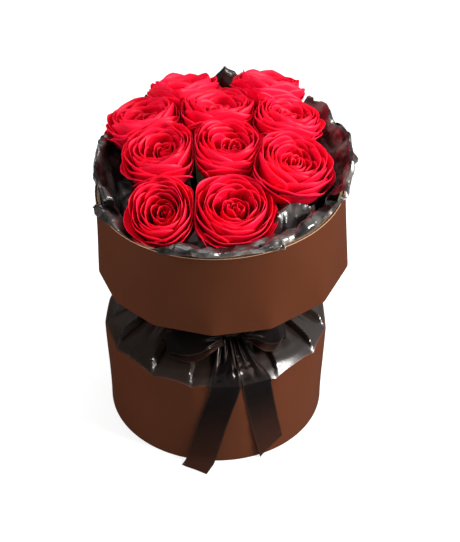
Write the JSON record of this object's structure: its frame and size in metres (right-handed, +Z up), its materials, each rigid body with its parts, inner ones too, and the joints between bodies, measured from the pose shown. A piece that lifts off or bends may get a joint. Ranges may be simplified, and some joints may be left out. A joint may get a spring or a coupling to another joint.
{
  "type": "flower box",
  "caption": "Waisted standing flower box: film-wrapped card drums tied with a ribbon bow, holding red roses that pull out of a foam pot inside.",
  "frame": {"origin": "centre of the underside of the base board, on the surface that the box stands on", "axes": "+Z up along the drum; the front, with the ribbon bow and its tails, faces -Y; +X to the right"},
  "size_m": [0.217, 0.2211, 0.2823],
  "materials": {
    "card": "plain card",
    "brown_film": "satin, film-coated, warm brown",
    "pleated_film": "satin, film-coated, near black brown",
    "tape": "clear double-sided tape",
    "tie": "flat binding tie",
    "pot": "moulded black",
    "foam": "wet floral foam, open cells",
    "tissue": "crumpled, glossy coated",
    "ribbon": "satin weave",
    "petals": "velvet",
    "sepals": "leafy, matt",
    "stems": "smooth green"
  },
  "bodies": {
    "root": {"base_board": "card", "drum_tube": "card", "drum_wrap": "brown_film", "drum_tape": "tape", "water_pot": "pot", "floral_foam": "foam", "shoulder_film": "pleated_film", "neck_tie": "tie", "skirt_film": "pleated_film", "collar_tube": "card", "collar_wrap": "brown_film", "collar_tape": "tape", "tissue_front": "tissue", "tissue_front_right": "tissue", "tissue_right": "tissue", "tissue_back_right": "tissue", "tissue_back": "tissue", "tissue_back_left": "tissue", "tissue_left": "tissue", "tissue_front_left": "tissue", "ribbon_band": "ribbon", "ribbon_knot": "ribbon", "ribbon_loop_left": "ribbon", "ribbon_loop_right": "ribbon", "ribbon_tail_left": "ribbon", "ribbon_tail_right": "ribbon"},
    "rose_01": {"rose_01_head": "petals", "rose_01_calyx": "sepals", "rose_01_stem": "stems"},
    "rose_02": {"rose_02_head": "petals", "rose_02_calyx": "sepals", "rose_02_stem": "stems"},
    "rose_03": {"rose_03_head": "petals", "rose_03_calyx": "sepals", "rose_03_stem": "stems"},
    "rose_04": {"rose_04_head": "petals", "rose_04_calyx": "sepals", "rose_04_stem": "stems"},
    "rose_05": {"rose_05_head": "petals", "rose_05_calyx": "sepals", "rose_05_stem": "stems"},
    "rose_06": {"rose_06_head": "petals", "rose_06_calyx": "sepals", "rose_06_stem": "stems"},
    "rose_07": {"rose_07_head": "petals", "rose_07_calyx": "sepals", "rose_07_stem": "stems"},
    "rose_08": {"rose_08_head": "petals", "rose_08_calyx": "sepals", "rose_08_stem": "stems"},
    "rose_09": {"rose_09_head": "petals", "rose_09_calyx": "sepals", "rose_09_stem": "stems"},
    "rose_10": {"rose_10_head": "petals", "rose_10_calyx": "sepals", "rose_10_stem": "stems"}
  },
  "joints": [
    {"name": "rose_01_pull", "type": "slide", "parent": "root", "child": "rose_01", "axis": [-0.1678, -0.2065, 0.964], "range_m": [0, 0.24]},
    {"name": "rose_02_pull", "type": "slide", "parent": "root", "child": "rose_02", "axis": [0.0505, -0.2147, 0.9754], "range_m": [0, 0.24]},
    {"name": "rose_03_pull", "type": "slide", "parent": "root", "child": "rose_03", "axis": [0.2227, -0.0488, 0.9737], "range_m": [0, 0.24]},
    {"name": "rose_04_pull", "type": "slide", "parent": "root", "child": "rose_04", "axis": [-0.1662, 0.0076, 0.9861], "range_m": [0, 0.24]},
    {"name": "rose_05_pull", "type": "slide", "parent": "root", "child": "rose_05", "axis": [0.0335, 0.0075, 0.9994], "range_m": [0, 0.24]},
    {"name": "rose_06_pull", "type": "slide", "parent": "root", "child": "rose_06", "axis": [-0.2114, 0.1677, 0.9629], "range_m": [0, 0.24]},
    {"name": "rose_07_pull", "type": "slide", "parent": "root", "child": "rose_07", "axis": [0.0063, 0.1803, 0.9836], "range_m": [0, 0.24]},
    {"name": "rose_08_pull", "type": "slide", "parent": "root", "child": "rose_08", "axis": [0.2051, 0.1384, 0.9689], "range_m": [0, 0.24]},
    {"name": "rose_09_pull", "type": "slide", "parent": "root", "child": "rose_09", "axis": [-0.0922, 0.2847, 0.9542], "range_m": [0, 0.24]},
    {"name": "rose_10_pull", "type": "slide", "parent": "root", "child": "rose_10", "axis": [0.151, 0.2764, 0.9491], "range_m": [0, 0.24]}
  ]
}
